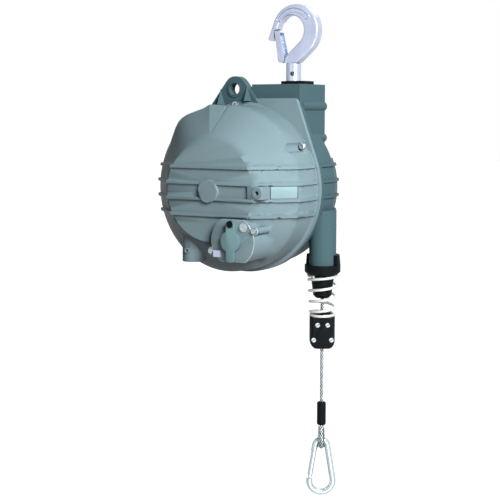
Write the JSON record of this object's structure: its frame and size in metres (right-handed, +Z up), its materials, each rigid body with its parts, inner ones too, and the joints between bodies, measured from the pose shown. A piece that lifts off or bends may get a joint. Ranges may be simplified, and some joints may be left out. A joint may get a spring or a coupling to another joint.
{
  "type": "spring tool balancer",
  "caption": "Hook-hung spring balancer: ribbed round casing, sprung drum and wire rope ending in a buffer, a clamp and a snap hook.",
  "frame": {"origin": "bearing point at the top of the suspension hook's bowl, where the overhead eye or rail carries it", "axes": "+Z up along the swivel axis, which passes through the bearing point; the drum axis is along Y; the front cover faces -Y and the rope hangs on the +X side"},
  "size_m": [0.2795, 0.2127, 0.785],
  "materials": {
    "casing_paint": "satin metallic grey-green paint",
    "bare_casting": "satin casting",
    "black_plate": "matte black",
    "bright_steel": "zinc plated",
    "fasteners": "zinc plated",
    "bearing_steel": "polished",
    "black_plastic": "matte black",
    "wire_rope": "braided",
    "buffer_steel": "pale grey",
    "drum_casting": "as cast",
    "spring_steel": "blued",
    "shaft_steel": "turned",
    "bronze": "machined"
  },
  "bodies": {
    "hook": {"suspension_hook": "bright_steel", "latch_pin": "bright_steel", "latch_spring": "bright_steel", "coupling": "bright_steel", "coupling_pin": "bright_steel", "swivel_nut": "bright_steel"},
    "latch": {"hook_latch": "bright_steel"},
    "casing": {"front_cover": "casing_paint", "cover_screws": "fasteners", "rear_casing": "casing_paint", "head_plate": "black_plate", "thrust_bearing": "bearing_steel", "lug_plug": "fasteners", "lock_cap": "bare_casting", "cap_screws": "fasteners", "lock_plate": "bare_casting", "lock_knob": "black_plastic", "front_bearing": "bearing_steel", "worm_bracket": "bare_casting", "outlet_ring": "black_plate", "rope_guide": "black_plastic", "rope_lead": "wire_rope", "buffer_spring": "buffer_steel"},
    "drum": {"drum": "drum_casting", "rope_winding": "wire_rope", "drum_bearings": "bearing_steel", "spring_barrel": "drum_casting", "power_spring": "spring_steel"},
    "adjuster": {"main_shaft": "shaft_steel", "worm_wheel": "bronze"},
    "worm": {"worm": "shaft_steel"},
    "lock_pin": {"lock_pin": "fasteners"},
    "lock_key": {"lock_key": "bright_steel"},
    "rope_end": {"rope_short": "wire_rope", "rope_hang": "wire_rope", "clamp_front": "black_plastic", "clamp_rear": "black_plastic", "clamp_screws": "fasteners", "ferrule": "black_plastic", "rope_eye": "wire_rope", "thimble": "bright_steel"},
    "carabiner": {"carabiner": "bright_steel", "gate_pin": "bright_steel"},
    "gate": {"carabiner_gate": "bright_steel"}
  },
  "joints": [
    {"name": "swivel", "type": "hinge", "parent": "hook", "child": "casing", "pos_m": [0, 0, -0.12], "axis": [0, 0, 1], "continuous": true},
    {"name": "latch_hinge", "type": "hinge", "parent": "hook", "child": "latch", "pos_m": [-0.0185, 0, -0.0672], "axis": [0, 1, 0], "range_deg": [0, 36], "stiffness_Nm_per_rad": 0.05, "springref_deg": -28.65},
    {"name": "drum_spin", "type": "hinge", "parent": "casing", "child": "drum", "pos_m": [-0.0615, -0.04, -0.269], "axis": [0, 1, 0], "range_deg": [0, 1080], "stiffness_Nm_per_rad": 0.6, "springref_deg": -1432.39},
    {"name": "rope_run", "type": "slide", "parent": "casing", "child": "rope_end", "axis": [0, 0, -1], "range_m": [0, 2.04], "deforming": ["rope_short"]},
    {"name": "preload", "type": "hinge", "parent": "casing", "child": "adjuster", "pos_m": [-0.0615, -0.04, -0.269], "axis": [0, 1, 0], "range_deg": [-180, 180]},
    {"name": "worm_spin", "type": "hinge", "parent": "casing", "child": "worm", "pos_m": [-0.11, -0.12, -0.269], "axis": [0, 0, 1], "range_deg": [-5400, 5400]},
    {"name": "lock_slide", "type": "slide", "parent": "casing", "child": "lock_pin", "axis": [0, 1, 0], "range_m": [0, 0.008]},
    {"name": "key_turn", "type": "hinge", "parent": "casing", "child": "lock_key", "pos_m": [-0.03922, -0.155, -0.3617], "axis": [0, 1, 0], "range_deg": [0, 90]},
    {"name": "carabiner_swing", "type": "hinge", "parent": "rope_end", "child": "carabiner", "pos_m": [0.0545, 0, -0.676], "axis": [0.848, 0.5299, 0], "range_deg": [-60, 60]},
    {"name": "gate_hinge", "type": "hinge", "parent": "carabiner", "child": "gate", "pos_m": [0.03925, -0.00953, -0.73605], "axis": [-0.5299, 0.848, 0], "range_deg": [0, 14], "stiffness_Nm_per_rad": 0.05, "springref_deg": -17.19}
  ],
  "couplings": [
    {"joint": "rope_run", "follows": "drum_spin", "m_per_rad": 0.108},
    {"joint": "worm_spin", "follows": "preload", "ratio": -30},
    {"joint": "key_turn", "follows": "lock_slide", "rad_per_m": 196.3}
  ]
}
